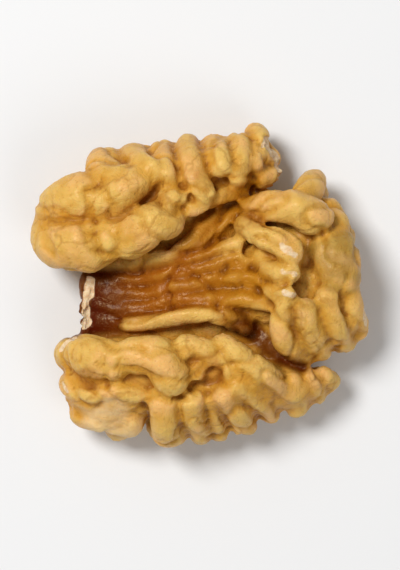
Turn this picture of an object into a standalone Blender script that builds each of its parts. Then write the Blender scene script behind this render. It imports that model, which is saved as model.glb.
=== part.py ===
"""Half of a walnut kernel, lying on its flatter inner side.

The kernel is one grown piece. Two long lobes and a pointed end of small folds stand round a Y-shaped valley,
and every lobe is thrown into rounded folds that run out over its rim and curl in underneath.
Sizes are in millimetres until the mesh is made. +X runs along the valley to the kernel's pointed end.
"""

import math

import bmesh
import bpy
import numpy as np
from mathutils import Matrix, Vector, noise

MM = 0.001

# Mesh resolution. The balls of a fold stand this share of its half-width apart.
BALL_SPACING = 0.3
VOXEL = 0.26
TRIANGLES = 11000

# The middle of the box round all the folds, as their points are given. It becomes the kernel's origin.
MIDDLE = Vector((-0.1, 0.38, 0))

# A slow swell bends the folds off true, so that no two are alike.
SEED = 4
SWELL = 0.5
SWELL_SIZE = 4.2

# Creases wander over the folds where a smooth noise is zero, and small lumps lie between them.
CREASE_DEPTH = 0.34
CREASE_SPACING = 3.4
CREASE_WIDTH = 0.09
LUMP = 0.06
LUMP_SIZE = 1.7
SMOOTH_BELOW = 0.8

# The clefts between the folds are cut deeper by a share of their depth below the skin evened out in rounds.
CLEFT_GAIN = 1.3
EVEN_ROUNDS = 12

# A fold that ends on the rim goes on down and curls in under its lobe. Each step is a reach in from the rim
# and the height of the fold's own underside there.
RIM_HEIGHT = 5.3
CURL = ((2.2, 0.8), (0.4, 1.8))

# The skin's colour and finish
SKIN_COLOUR = (0.66, 0.38, 0.12, 1)
SKIN_ROUGHNESS = 0.45

# Each core is an ellipsoid of the flesh under the folds: its centre, its half axes and its turn about Z.
CORES = (
    ((-0.2, -0.4, 4.3), (11.2, 11.0, 1.7), 0),
    ((-8.6, 6.2, 5.0), (5.6, 3.3, 3.4), 20),
    ((-3.0, 8.6, 5.2), (5.6, 3.2, 3.3), 24),
    ((2.4, 10.8, 4.6), (4.4, 2.6, 2.6), 20),
    ((-6.4, -8.0, 5.2), (6.0, 3.8, 3.7), 6),
    ((0.2, -8.0, 5.0), (6.0, 3.6, 3.5), 0),
    ((6.0, -8.4, 4.6), (4.4, 2.4, 3.0), -8),
    ((10.0, -1.2, 5.0), (4.2, 4.6, 3.0), 10),
    ((9.0, 4.3, 4.8), (4.2, 4.0, 2.9), 20),
    ((4.4, 0.6, 5.6), (4.6, 4.0, 2.2), 0),
    ((0.6, 5.0, 4.8), (3.8, 3.2, 1.8), 40),
    ((5.6, -4.8, 4.8), (3.4, 2.4, 1.3), -40),
    ((-1.2, 8.4, 7.1), (1.7, 1.5, 1.3), 0),
    ((6.4, 2.4, 7.0), (2.5, 2.6, 1.7), 0),
    ((0.9, -7.3, 7.4), (2.0, 1.6, 1.7), 0),
    ((0.6, -8.2, 6.9), (3.4, 2.0, 2.0), 0),
)

# Each fold is a rounded ridge: its half-width at its first and last point, then the points it runs through.
UPPER_LOBE = (
    (2.3, 2.5, (-13.1, 4.9, 4.6), (-12.2, 3.9, 6.4), (-10.4, 3.9, 7.5)),
    (2.0, 2.0, (-9.2, 3.8, 7.2), (-8.0, 4.6, 8.1)),
    (2.2, 1.9, (-6.3, 4.7, 8.1), (-4.7, 5.5, 8.9), (-3.5, 6.0, 8.7)),
    (2.2, 2.2, (-12.9, 6.8, 4.6), (-11.8, 7.8, 6.6), (-10.4, 8.3, 7.5)),
    (1.9, 1.9, (-8.6, 10.9, 4.8), (-8.5, 10.2, 6.8), (-7.6, 9.8, 7.8)),
    (1.8, 1.6, (-8.9, 7.9, 8.1), (-7.4, 8.5, 8.6), (-6.2, 9.4, 8.6)),
    (1.5, 1.4, (-6.0, 11.5, 4.8), (-5.4, 11.1, 7.2), (-4.7, 10.3, 8.5)),
    (1.1, 1.0, (-3.6, 12.2, 5.2), (-3.2, 11.0, 7.9), (-2.8, 9.8, 8.9)),
    (1.0, 0.9, (-3.4, 7.9, 8.8), (-2.2, 8.2, 9.0)),
    (1.3, 1.0, (-1.3, 12.7, 4.6), (-1.1, 11.6, 7.4), (-0.6, 9.9, 8.6), (0.1, 8.4, 8.4)),
    (1.3, 1.2, (1.1, 12.6, 4.6), (1.2, 11.8, 7.1), (1.6, 10.7, 7.9)),
    (1.2, 1.1, (3.3, 12.8, 5.0), (3.4, 11.7, 6.9), (3.0, 10.2, 7.3)),
    (1.1, 1.0, (4.8, 13.9, 3.6), (5.2, 12.8, 5.2), (4.7, 11.4, 6.4)),
    (1.0, 0.9, (6.0, 11.8, 3.6), (6.3, 10.2, 4.8), (5.2, 9.9, 5.8)),
    (0.9, 0.8, (-1.0, 7.2, 7.9), (1.0, 7.9, 7.2), (3.4, 9.0, 6.2)),
)
POINTED_END = (
    (1.2, 1.3, (3.6, 5.4, 7.4), (4.9, 4.7, 8.7), (6.4, 4.2, 9.4), (7.6, 3.3, 9.4)),
    (1.4, 1.8, (4.4, 7.2, 6.6), (6.3, 7.5, 8.2), (8.3, 7.1, 9.0), (9.6, 6.2, 8.8)),
    (1.7, 1.6, (10.7, 6.6, 5.0), (11.3, 5.6, 6.4)),
    (1.2, 1.3, (9.8, 9.3, 4.2), (9.4, 8.8, 6.2), (8.8, 8.2, 7.4)),
    (1.9, 2.0, (10.9, 4.7, 6.6), (11.7, 2.9, 7.3), (12.0, 1.0, 6.9)),
    (0.9, 0.8, (5.4, 1.9, 8.2), (6.6, 1.6, 9.1), (7.8, 1.4, 9.6)),
    (1.0, 1.0, (5.6, -0.2, 8.4), (6.6, -0.4, 9.2), (7.6, -0.5, 9.8)),
    (1.3, 1.3, (7.0, -1.9, 9.2), (7.1, -3.6, 8.7), (8.0, -5.0, 7.5), (9.3, -5.8, 5.2)),
    (1.1, 1.1, (9.0, -1.6, 9.2), (9.3, -3.2, 8.7), (10.0, -4.6, 7.4), (10.6, -5.5, 5.2)),
    (1.2, 1.2, (10.9, -0.9, 8.2), (11.3, -2.6, 8.0), (12.0, -3.8, 6.8), (12.6, -4.5, 4.8)),
    (1.3, 1.3, (12.8, -0.6, 6.6), (13.4, -2.2, 6.4), (13.9, -3.4, 4.8)),
)
LOWER_LOBE = (
    (1.7, 1.9, (-11.4, -5.9, 4.4), (-10.2, -6.0, 7.2), (-7.6, -6.4, 8.9)),
    (1.8, 1.9, (-6.0, -5.9, 9.4), (-3.8, -6.2, 10.0), (-2.9, -7.6, 9.6)),
    (1.2, 1.0, (-1.4, -5.2, 9.6), (0.3, -5.3, 9.3)),
    (1.1, 0.9, (-11.9, -8.5, 4.2), (-11.4, -8.8, 6), (-9.6, -9.3, 7.6), (-7.2, -9.2, 8.4), (-5.6, -9.7, 8.3)),
    (1.5, 1.6, (-10.2, -10.9, 4.0), (-8.4, -11.3, 5.4), (-6.7, -11.6, 5.2)),
    (1.3, 1.2, (-7.6, -12.2, 3.6), (-6.6, -11.4, 5.6)),
    (1.6, 1.4, (-3.1, -12.9, 4.4), (-3.3, -11.7, 7.2), (-3.6, -9.9, 8.7)),
    (1.2, 1.1, (-0.6, -12.9, 4.2), (-0.8, -11.6, 7.0), (-1.1, -9.8, 8.7)),
    (0.8, 0.7, (1.3, -12.9, 4.0), (1.1, -11.5, 6.7), (0.7, -9.9, 8.3)),
    (1.4, 1.2, (3.5, -11.9, 4.4), (2.9, -10.9, 7.0), (1.9, -9.3, 8.6)),
    (0.9, 0.8, (6.0, -11.3, 4.2), (4.8, -10.2, 7.1), (3.1, -8.5, 9.1)),
    (1.2, 1.3, (1.8, -4.9, 8.7), (3.4, -5.8, 9.0), (4.8, -7.0, 8.7), (6.1, -8.3, 7.3), (6.9, -9.4, 5.0)),
    (0.6, 0.5, (2.9, -7.1, 9.2), (4.3, -8.4, 8.7), (5.6, -9.7, 7.1)),
    (0.8, 0.7, (-0.8, -7.6, 9.2), (-0.4, -6.6, 9.4), (0.8, -6.0, 9.4), (2.0, -6.6, 9.3), (2.4, -7.6, 9.0)),
    (1.1, 1.0, (8.5, -10.6, 3.8), (8.6, -9.6, 5.2), (7.9, -8.2, 6.4)),
    (1.0, 1.0, (10.2, -9.6, 3.6), (10.2, -8.8, 5.0), (9.6, -8.0, 5.6)),
    (0.9, 0.9, (11.5, -8.3, 3.8), (11.0, -7.9, 4.8)),
)
VALLEY = (
    (0.5, 0.5, (-10.1, 1.0, 4.4), (-10.7, -0.6, 4.9), (-11.1, -2.4, 4.8), (-10.7, -3.9, 4.6)),
    (0.8, 0.6, (-5.6, 2.5, 5.8), (-2.8, 3.1, 6.5), (-0.6, 4.8, 6.5), (1.6, 7.0, 5.9)),
    (0.6, 0.6, (-1.0, 3.3, 6.5), (0.9, 4.9, 6.5), (2.8, 6.9, 6.0), (4.3, 8.4, 5.3)),
    (0.6, 0.7, (-7.5, 1.9, 5.2), (-3.0, 2.3, 6.2), (0.5, 3.0, 6.8), (2.8, 3.7, 7.2)),
    (0.8, 0.8, (-9.6, 0.8, 4.2), (-5.0, 0.9, 5.6), (-0.5, 1.6, 6.6), (3.2, 2.3, 7.3)),
    (0.9, 0.9, (-10.2, -0.5, 3.7), (-6.0, -0.5, 5.2), (-2.0, 0.0, 6.2), (2.0, 0.7, 7.1), (5.4, 0.7, 7.8)),
    (0.9, 0.9, (-10.3, -2.0, 3.7), (-5.5, -1.7, 5.3), (-1.0, -1.2, 6.5), (2.5, -0.9, 7.3), (5.6, -1.3, 7.8)),
    (0.7, 0.8, (-6.8, -3.2, 5.8), (-3.0, -2.8, 7.1), (-0.5, -2.3, 7.4), (2.0, -2.5, 7.4), (3.8, -3.4, 6.8)),
)
UNDERSIDE = (
    (1.9, 1.9, (-12.6, 5.6, 3.7), (-10.6, 7.8, 2.9), (-8.0, 9.8, 3.1)),
    (1.8, 1.8, (-11.2, 3.9, 3.9), (-8.2, 4.7, 3.1), (-5.4, 5.4, 2.9)),
    (1.6, 1.6, (-6.6, 7.6, 2.4), (-4.4, 8.5, 2.3), (-2.0, 8.2, 2.8)),
    (1.7, 1.6, (-5.6, 11.0, 3.4), (-3.0, 11.4, 3.0), (-0.4, 10.8, 2.8)),
    (1.5, 1.5, (-2.8, 5.9, 3.2), (-0.4, 7.7, 2.8), (1.8, 9.2, 2.9)),
    (1.6, 1.5, (0.9, 12.0, 3.4), (3.2, 12.2, 3.0), (4.8, 12.4, 3.2)),
    (1.2, 1.1, (3.6, 10.0, 3.0), (5.6, 10.4, 3.4)),
    (2.0, 2.0, (-10.6, -6.2, 3.6), (-8.2, -6.5, 2.8), (-5.4, -6.1, 2.9)),
    (1.9, 1.9, (-10.6, -9.2, 3.2), (-8.2, -10.4, 2.8), (-5.8, -10.2, 2.6)),
    (1.6, 1.7, (-3.6, -12.2, 3.2), (-2.8, -10.4, 2.4), (-2.9, -8.2, 2.4)),
    (1.4, 1.4, (-0.6, -12.2, 3.2), (-0.1, -10.0, 2.5), (-0.4, -7.4, 2.7)),
    (1.5, 1.4, (2.8, -11.2, 3.2), (2.7, -9.2, 2.5), (2.1, -6.8, 2.9)),
    (1.4, 1.3, (5.4, -10.6, 3.2), (5.5, -8.9, 2.8), (4.7, -7.0, 3.1)),
    (1.2, 1.2, (8.6, -10.2, 3.2), (8.2, -8.6, 2.9), (7.4, -7.4, 3.3)),
    (1.1, 1.0, (11.0, -8.5, 3.2), (9.9, -7.8, 3.3)),
    (1.7, 1.7, (9.8, 8.0, 3.4), (8.6, 6.2, 2.8), (6.2, 5.5, 3.1)),
    (1.8, 1.8, (11.8, 4.4, 3.2), (11.0, 2.6, 2.6), (10.2, 0.4, 2.4)),
    (1.6, 1.6, (13.2, -2.6, 3.6), (11.4, -2.6, 2.8), (9.0, -2.2, 2.6)),
    (1.3, 1.3, (11.8, -4.8, 3.6), (10.0, -4.8, 3.1), (7.8, -4.2, 3.1)),
    (1.2, 1.2, (4.4, 3.8, 3.4), (6.6, 2.8, 3.0), (7.6, 0.8, 2.8)),
    (0.9, 0.9, (-9.6, -1.4, 3.5), (-4.0, -0.8, 2.9), (1.5, -0.2, 2.9), (5.6, -1.2, 3.2)),
    (0.7, 0.7, (-7.4, 1.2, 3.2), (-3.0, 1.8, 2.9), (1.0, 3.0, 2.9), (3.2, 5.2, 3.0)),
)

# The line under each lobe that its folds curl in towards
UPPER_KEEL = ((-9.0, 6.5), (3.0, 10.2))
POINTED_KEEL = ((8.0, 4.0), (9.5, -1.5))
LOWER_KEEL = ((-8.0, -8.0), (8.0, -8.0))

# The kernel rests on three knobs round its weight. Each knob is its centre and its radius.
FEET = (
    ((-9.2, 7.6, 1.8), 2.1),
    ((-6.4, -9.6, 1.8), 2.1),
    ((10.4, 0.8, 1.8), 2.1),
)


def along(points, share):
    """The point at a share of the way along a smooth curve through the points."""
    spans = len(points) - 1
    at = min(share * spans, spans - 1e-9)
    i = int(at)
    t = at - i
    before = points[i - 1] if i else points[0] * 2 - points[1]
    after = points[i + 2] if i + 2 < len(points) else points[-1] * 2 - points[-2]
    p, q = points[i], points[i + 1]
    return 0.5 * (
        2 * p
        + (q - before) * t
        + (2 * before - 5 * p + 4 * q - after) * t * t
        + (3 * p - before - 3 * q + after) * t**3
    )


def core(centre, half_axes, turn):
    """One ellipsoid of the solid flesh inside the folds."""
    bm = bmesh.new()
    matrix = (
        Matrix.Translation(centre)
        @ Matrix.Rotation(math.radians(turn), 4, "Z")
        @ Matrix.Diagonal((*half_axes, 1))
    )
    bmesh.ops.create_icosphere(bm, subdivisions=4, radius=1, matrix=matrix)
    return bm


def fold(first, last, *points):
    """One rounded ridge, as overlapping balls along its middle line."""
    bm = bmesh.new()
    points = [Vector(p) for p in points]
    length = sum((q - p).length for p, q in zip(points, points[1:]))
    steps = max(2, math.ceil(length / (BALL_SPACING * min(first, last))))
    for step in range(steps + 1):
        share = step / steps
        matrix = Matrix.Translation(along(points, share))
        radius = first + (last - first) * share
        bmesh.ops.create_icosphere(bm, subdivisions=2, radius=radius, matrix=matrix)
    return bm


def foot(centre, radius):
    """One low knob that the kernel rests on."""
    bm = bmesh.new()
    bmesh.ops.create_icosphere(bm, subdivisions=3, radius=radius, matrix=Matrix.Translation(centre))
    return bm


def curl_under(radius, points, keel):
    """The points of a fold, led by two more in under the lobe and down its side if it starts on the rim."""
    rim = points[0]
    if rim[2] > RIM_HEIGHT:
        return points
    start, end = Vector(keel[0]), Vector(keel[1])
    run = end - start
    share = min(1, max(0, (Vector(rim[:2]) - start).dot(run) / run.length_squared))
    inward = (start + run * share - Vector(rim[:2])).normalized()
    tail = [(*(Vector(rim[:2]) + inward * reach), radius + height) for reach, height in CURL]
    return (*tail, *points)


def swell(point):
    """The point moved by a slow, smooth wander."""
    return point + SWELL * Vector(noise.noise_vector(point / SWELL_SIZE))


def relief(point):
    """How far the skin stands out or in at a point."""
    crease = noise.noise(point / CREASE_SPACING) / CREASE_WIDTH
    return LUMP * noise.noise(point / LUMP_SIZE) - CREASE_DEPTH * math.exp(-crease * crease)


def gather(shapes):
    """One mesh that holds every shape."""
    whole = bmesh.new()
    for shape in shapes:
        mesh = bpy.data.meshes.new("shape")
        shape.to_mesh(mesh)
        shape.free()
        whole.from_mesh(mesh)
        bpy.data.meshes.remove(mesh)
    return whole


def kernel_mesh():
    """The overlapping cores and folds, before they are united."""
    noise.seed_set(SEED)
    folds = [(first, last, *points) for first, last, *points in VALLEY + UNDERSIDE]
    for lobe, keel in ((UPPER_LOBE, UPPER_KEEL), (POINTED_END, POINTED_KEEL), (LOWER_LOBE, LOWER_KEEL)):
        folds += [(first, last, *curl_under(first, points, keel)) for first, last, *points in lobe]
    whole = gather([core(*c) for c in CORES] + [fold(*f) for f in folds])
    for vertex in whole.verts:
        vertex.co = swell(vertex.co)
    feet = gather(foot(*f) for f in FEET)
    mesh = bpy.data.meshes.new("kernel")
    feet.to_mesh(mesh)
    feet.free()
    whole.from_mesh(mesh)
    for vertex in whole.verts:
        vertex.co = (vertex.co - MIDDLE) * MM
    whole.to_mesh(mesh)
    whole.free()
    return mesh


def apply_modifiers(kernel):
    """Turns what the modifiers make into the kernel's own mesh."""
    evaluated = kernel.evaluated_get(bpy.context.evaluated_depsgraph_get())
    mesh = bpy.data.meshes.new_from_object(evaluated)
    rough = kernel.data
    kernel.modifiers.clear()
    kernel.data = mesh
    bpy.data.meshes.remove(rough)
    mesh.name = kernel.name


def unite(kernel, smooth_steps):
    """Runs overlapping shapes together into one closed skin."""
    remesh = kernel.modifiers.new("one skin", "REMESH")
    remesh.mode = "VOXEL"
    remesh.voxel_size = VOXEL * MM
    smooth = kernel.modifiers.new("soften", "SMOOTH")
    smooth.factor = 0.5
    smooth.iterations = smooth_steps
    apply_modifiers(kernel)


def evened(points, ends, rounds):
    """The points averaged with their neighbours again and again."""
    counts = np.bincount(ends.ravel(), minlength=len(points))
    for _ in range(rounds):
        total = np.zeros_like(points)
        np.add.at(total, ends[:, 0], points[ends[:, 1]])
        np.add.at(total, ends[:, 1], points[ends[:, 0]])
        points = (points + total / counts[:, None]) / 2
    return points


def crease_skin(kernel):
    """Deepens the clefts between the folds, and gives the skin its creases and lumps."""
    mesh = kernel.data
    points = np.array([vertex.co for vertex in mesh.vertices]) / MM
    normals = np.array([normal.vector for normal in mesh.vertex_normals])
    ends = np.array([edge.vertices for edge in mesh.edges])
    hollow = ((evened(points, ends, EVEN_ROUNDS) - points) * normals).sum(axis=1)
    for vertex, normal, depth in zip(mesh.vertices, normals, hollow):
        point = vertex.co / MM
        if point.z > SMOOTH_BELOW:
            height = relief(point) - CLEFT_GAIN * max(depth, 0)
            vertex.co += Vector(normal) * height * MM


def thin(kernel):
    """Thins the skin to the number of triangles that it may have."""
    triangulate = kernel.modifiers.new("triangles", "TRIANGULATE")
    triangulate.quad_method = "BEAUTY"
    apply_modifiers(kernel)
    decimate = kernel.modifiers.new("thin", "DECIMATE")
    decimate.ratio = TRIANGLES / len(kernel.data.polygons)
    apply_modifiers(kernel)


def flatten_feet(kernel):
    """Presses flat what would sink below the surface that the kernel rests on."""
    for vertex in kernel.data.vertices:
        vertex.co.z = max(vertex.co.z, 0)


def skin_material():
    """The kernel's thin golden skin."""
    material = bpy.data.materials.new("kernel_skin")
    material.use_nodes = True
    shader = material.node_tree.nodes["Principled BSDF"]
    shader.inputs["Base Color"].default_value = SKIN_COLOUR
    shader.inputs["Roughness"].default_value = SKIN_ROUGHNESS
    shader.inputs["Metallic"].default_value = 0
    return material


def main():
    for old in list(bpy.data.objects):
        bpy.data.objects.remove(old)
    kernel = bpy.data.objects.new("kernel", kernel_mesh())
    bpy.context.scene.collection.objects.link(kernel)
    unite(kernel, smooth_steps=2)
    crease_skin(kernel)
    unite(kernel, smooth_steps=1)
    thin(kernel)
    flatten_feet(kernel)
    kernel.data.shade_smooth()
    kernel.data.materials.append(skin_material())


main()
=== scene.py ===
"""Walnut kernel half: the fine folded body, its skin and the studio it is shown in.

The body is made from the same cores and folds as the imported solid, at a finer pitch, and then gets the creases,
wrinkles, chips and skin that the solid is too coarse for. Lengths in the tables are millimetres.
"""

import math

import bmesh
import bpy
import numpy as np
from mathutils import Matrix, Vector, noise


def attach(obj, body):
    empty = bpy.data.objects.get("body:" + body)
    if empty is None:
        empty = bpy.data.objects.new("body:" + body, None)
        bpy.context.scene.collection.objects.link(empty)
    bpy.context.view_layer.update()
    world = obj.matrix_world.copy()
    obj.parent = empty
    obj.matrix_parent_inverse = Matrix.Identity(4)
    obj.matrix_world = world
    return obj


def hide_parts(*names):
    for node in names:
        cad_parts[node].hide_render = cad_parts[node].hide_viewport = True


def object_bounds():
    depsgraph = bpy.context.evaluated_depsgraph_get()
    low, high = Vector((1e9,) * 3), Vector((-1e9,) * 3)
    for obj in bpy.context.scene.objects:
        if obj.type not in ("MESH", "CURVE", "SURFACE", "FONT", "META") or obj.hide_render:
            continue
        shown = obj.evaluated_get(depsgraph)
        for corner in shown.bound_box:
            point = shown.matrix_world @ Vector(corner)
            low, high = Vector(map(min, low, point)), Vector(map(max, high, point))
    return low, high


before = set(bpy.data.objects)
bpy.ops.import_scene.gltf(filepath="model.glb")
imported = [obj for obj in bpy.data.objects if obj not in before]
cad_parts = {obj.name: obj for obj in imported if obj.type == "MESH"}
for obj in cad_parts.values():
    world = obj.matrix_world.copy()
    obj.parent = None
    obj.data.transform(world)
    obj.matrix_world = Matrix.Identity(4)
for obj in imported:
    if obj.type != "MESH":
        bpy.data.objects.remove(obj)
CAD_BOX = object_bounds()

bl_info = {
    "name": "Walnut Kernel",
    "version": (1, 0, 0),
    "blender": (4, 5, 0),
    "location": "3D View > Sidebar > Walnut",
    "description": "Builds half of a walnut kernel and the studio it is shown in",
    "category": "Add Mesh",
}

MM = 0.001

# The middle of the box round all the folds, as their points are given. It becomes the kernel's origin.
MIDDLE = Vector((-0.1, 0.38, 0))

# A slow swell bends the folds off true. Creases wander over them where a smooth noise is zero.
SEED = 4
SWELL = 0.5
SWELL_SIZE = 4.2
CREASE_DEPTH = 0.34
CREASE_SPACING = 3.4
CREASE_WIDTH = 0.09
LUMP = 0.06
LUMP_SIZE = 1.7

# The finer creases and wrinkles lie over those. Their noise is bent, and the finer creases come in patches.
FINE_BEND = 0.7
FINE_BEND_SIZE = 2.3
FINE_CREASE_SPACING = 1.7
FINE_CREASE_WIDTH = 0.07
FINE_CREASE_PATCH = 3.1
WRINKLE_SIZE = 0.62
WRINKLE_MIDDLE = 0.2

# Below this height the skin gets no relief, so that the resting spots stay flat.
SMOOTH_BELOW = 0.8

# The clefts between the folds are cut deeper by a share of their depth below the skin evened out in rounds.
CLEFT_GAIN = 1.3
EVEN_ROUNDS = 20

BALL_SPACING = 0.3

# A fold that ends on the rim goes on down and curls in under its lobe. Each step is a reach in from the rim
# and the height of the fold's own underside there.
RIM_HEIGHT = 5.3
CURL = ((2.2, 0.8), (0.4, 1.8))

# Each core is an ellipsoid of the flesh under the folds: its centre, its half axes and its turn about Z.
CORES = (
    ((-0.2, -0.4, 4.3), (11.2, 11.0, 1.7), 0),
    ((-8.6, 6.2, 5.0), (5.6, 3.3, 3.4), 20),
    ((-3.0, 8.6, 5.2), (5.6, 3.2, 3.3), 24),
    ((2.4, 10.8, 4.6), (4.4, 2.6, 2.6), 20),
    ((-6.4, -8.0, 5.2), (6.0, 3.8, 3.7), 6),
    ((0.2, -8.0, 5.0), (6.0, 3.6, 3.5), 0),
    ((6.0, -8.4, 4.6), (4.4, 2.4, 3.0), -8),
    ((10.0, -1.2, 5.0), (4.2, 4.6, 3.0), 10),
    ((9.0, 4.3, 4.8), (4.2, 4.0, 2.9), 20),
    ((4.4, 0.6, 5.6), (4.6, 4.0, 2.2), 0),
    ((0.6, 5.0, 4.8), (3.8, 3.2, 1.8), 40),
    ((5.6, -4.8, 4.8), (3.4, 2.4, 1.3), -40),
    ((-1.2, 8.4, 7.1), (1.7, 1.5, 1.3), 0),
    ((6.4, 2.4, 7.0), (2.5, 2.6, 1.7), 0),
    ((0.9, -7.3, 7.4), (2.0, 1.6, 1.7), 0),
    ((0.6, -8.2, 6.9), (3.4, 2.0, 2.0), 0),
)

# Each fold is a rounded ridge: its half-width at its first and last point, then the points it runs through.
UPPER_LOBE = (
    (2.3, 2.5, (-13.1, 4.9, 4.6), (-12.2, 3.9, 6.4), (-10.4, 3.9, 7.5)),
    (2.0, 2.0, (-9.2, 3.8, 7.2), (-8.0, 4.6, 8.1)),
    (2.2, 1.9, (-6.3, 4.7, 8.1), (-4.7, 5.5, 8.9), (-3.5, 6.0, 8.7)),
    (2.2, 2.2, (-12.9, 6.8, 4.6), (-11.8, 7.8, 6.6), (-10.4, 8.3, 7.5)),
    (1.9, 1.9, (-8.6, 10.9, 4.8), (-8.5, 10.2, 6.8), (-7.6, 9.8, 7.8)),
    (1.8, 1.6, (-8.9, 7.9, 8.1), (-7.4, 8.5, 8.6), (-6.2, 9.4, 8.6)),
    (1.5, 1.4, (-6.0, 11.5, 4.8), (-5.4, 11.1, 7.2), (-4.7, 10.3, 8.5)),
    (1.1, 1.0, (-3.6, 12.2, 5.2), (-3.2, 11.0, 7.9), (-2.8, 9.8, 8.9)),
    (1.0, 0.9, (-3.4, 7.9, 8.8), (-2.2, 8.2, 9.0)),
    (1.3, 1.0, (-1.3, 12.7, 4.6), (-1.1, 11.6, 7.4), (-0.6, 9.9, 8.6), (0.1, 8.4, 8.4)),
    (1.3, 1.2, (1.1, 12.6, 4.6), (1.2, 11.8, 7.1), (1.6, 10.7, 7.9)),
    (1.2, 1.1, (3.3, 12.8, 5.0), (3.4, 11.7, 6.9), (3.0, 10.2, 7.3)),
    (1.1, 1.0, (4.8, 13.9, 3.6), (5.2, 12.8, 5.2), (4.7, 11.4, 6.4)),
    (1.0, 0.9, (6.0, 11.8, 3.6), (6.3, 10.2, 4.8), (5.2, 9.9, 5.8)),
    (0.9, 0.8, (-1.0, 7.2, 7.9), (1.0, 7.9, 7.2), (3.4, 9.0, 6.2)),
)
POINTED_END = (
    (1.2, 1.3, (3.6, 5.4, 7.4), (4.9, 4.7, 8.7), (6.4, 4.2, 9.4), (7.6, 3.3, 9.4)),
    (1.4, 1.8, (4.4, 7.2, 6.6), (6.3, 7.5, 8.2), (8.3, 7.1, 9.0), (9.6, 6.2, 8.8)),
    (1.7, 1.6, (10.7, 6.6, 5.0), (11.3, 5.6, 6.4)),
    (1.2, 1.3, (9.8, 9.3, 4.2), (9.4, 8.8, 6.2), (8.8, 8.2, 7.4)),
    (1.9, 2.0, (10.9, 4.7, 6.6), (11.7, 2.9, 7.3), (12.0, 1.0, 6.9)),
    (0.9, 0.8, (5.4, 1.9, 8.2), (6.6, 1.6, 9.1), (7.8, 1.4, 9.6)),
    (1.0, 1.0, (5.6, -0.2, 8.4), (6.6, -0.4, 9.2), (7.6, -0.5, 9.8)),
    (1.3, 1.3, (7.0, -1.9, 9.2), (7.1, -3.6, 8.7), (8.0, -5.0, 7.5), (9.3, -5.8, 5.2)),
    (1.1, 1.1, (9.0, -1.6, 9.2), (9.3, -3.2, 8.7), (10.0, -4.6, 7.4), (10.6, -5.5, 5.2)),
    (1.2, 1.2, (10.9, -0.9, 8.2), (11.3, -2.6, 8.0), (12.0, -3.8, 6.8), (12.6, -4.5, 4.8)),
    (1.3, 1.3, (12.8, -0.6, 6.6), (13.4, -2.2, 6.4), (13.9, -3.4, 4.8)),
)
LOWER_LOBE = (
    (1.7, 1.9, (-11.4, -5.9, 4.4), (-10.2, -6.0, 7.2), (-7.6, -6.4, 8.9)),
    (1.8, 1.9, (-6.0, -5.9, 9.4), (-3.8, -6.2, 10.0), (-2.9, -7.6, 9.6)),
    (1.2, 1.0, (-1.4, -5.2, 9.6), (0.3, -5.3, 9.3)),
    (1.1, 0.9, (-11.9, -8.5, 4.2), (-11.4, -8.8, 6), (-9.6, -9.3, 7.6), (-7.2, -9.2, 8.4), (-5.6, -9.7, 8.3)),
    (1.5, 1.6, (-10.2, -10.9, 4.0), (-8.4, -11.3, 5.4), (-6.7, -11.6, 5.2)),
    (1.3, 1.2, (-7.6, -12.2, 3.6), (-6.6, -11.4, 5.6)),
    (1.6, 1.4, (-3.1, -12.9, 4.4), (-3.3, -11.7, 7.2), (-3.6, -9.9, 8.7)),
    (1.2, 1.1, (-0.6, -12.9, 4.2), (-0.8, -11.6, 7.0), (-1.1, -9.8, 8.7)),
    (0.8, 0.7, (1.3, -12.9, 4.0), (1.1, -11.5, 6.7), (0.7, -9.9, 8.3)),
    (1.4, 1.2, (3.5, -11.9, 4.4), (2.9, -10.9, 7.0), (1.9, -9.3, 8.6)),
    (0.9, 0.8, (6.0, -11.3, 4.2), (4.8, -10.2, 7.1), (3.1, -8.5, 9.1)),
    (1.2, 1.3, (1.8, -4.9, 8.7), (3.4, -5.8, 9.0), (4.8, -7.0, 8.7), (6.1, -8.3, 7.3), (6.9, -9.4, 5.0)),
    (0.6, 0.5, (2.9, -7.1, 9.2), (4.3, -8.4, 8.7), (5.6, -9.7, 7.1)),
    (0.8, 0.7, (-0.8, -7.6, 9.2), (-0.4, -6.6, 9.4), (0.8, -6.0, 9.4), (2.0, -6.6, 9.3), (2.4, -7.6, 9.0)),
    (1.1, 1.0, (8.5, -10.6, 3.8), (8.6, -9.6, 5.2), (7.9, -8.2, 6.4)),
    (1.0, 1.0, (10.2, -9.6, 3.6), (10.2, -8.8, 5.0), (9.6, -8.0, 5.6)),
    (0.9, 0.9, (11.5, -8.3, 3.8), (11.0, -7.9, 4.8)),
)
VALLEY = (
    (0.5, 0.5, (-10.1, 1.0, 4.4), (-10.7, -0.6, 4.9), (-11.1, -2.4, 4.8), (-10.7, -3.9, 4.6)),
    (0.8, 0.6, (-5.6, 2.5, 5.8), (-2.8, 3.1, 6.5), (-0.6, 4.8, 6.5), (1.6, 7.0, 5.9)),
    (0.6, 0.6, (-1.0, 3.3, 6.5), (0.9, 4.9, 6.5), (2.8, 6.9, 6.0), (4.3, 8.4, 5.3)),
    (0.6, 0.7, (-7.5, 1.9, 5.2), (-3.0, 2.3, 6.2), (0.5, 3.0, 6.8), (2.8, 3.7, 7.2)),
    (0.8, 0.8, (-9.6, 0.8, 4.2), (-5.0, 0.9, 5.6), (-0.5, 1.6, 6.6), (3.2, 2.3, 7.3)),
    (0.9, 0.9, (-10.2, -0.5, 3.7), (-6.0, -0.5, 5.2), (-2.0, 0.0, 6.2), (2.0, 0.7, 7.1), (5.4, 0.7, 7.8)),
    (0.9, 0.9, (-10.3, -2.0, 3.7), (-5.5, -1.7, 5.3), (-1.0, -1.2, 6.5), (2.5, -0.9, 7.3), (5.6, -1.3, 7.8)),
    (0.7, 0.8, (-6.8, -3.2, 5.8), (-3.0, -2.8, 7.1), (-0.5, -2.3, 7.4), (2.0, -2.5, 7.4), (3.8, -3.4, 6.8)),
)
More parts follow.
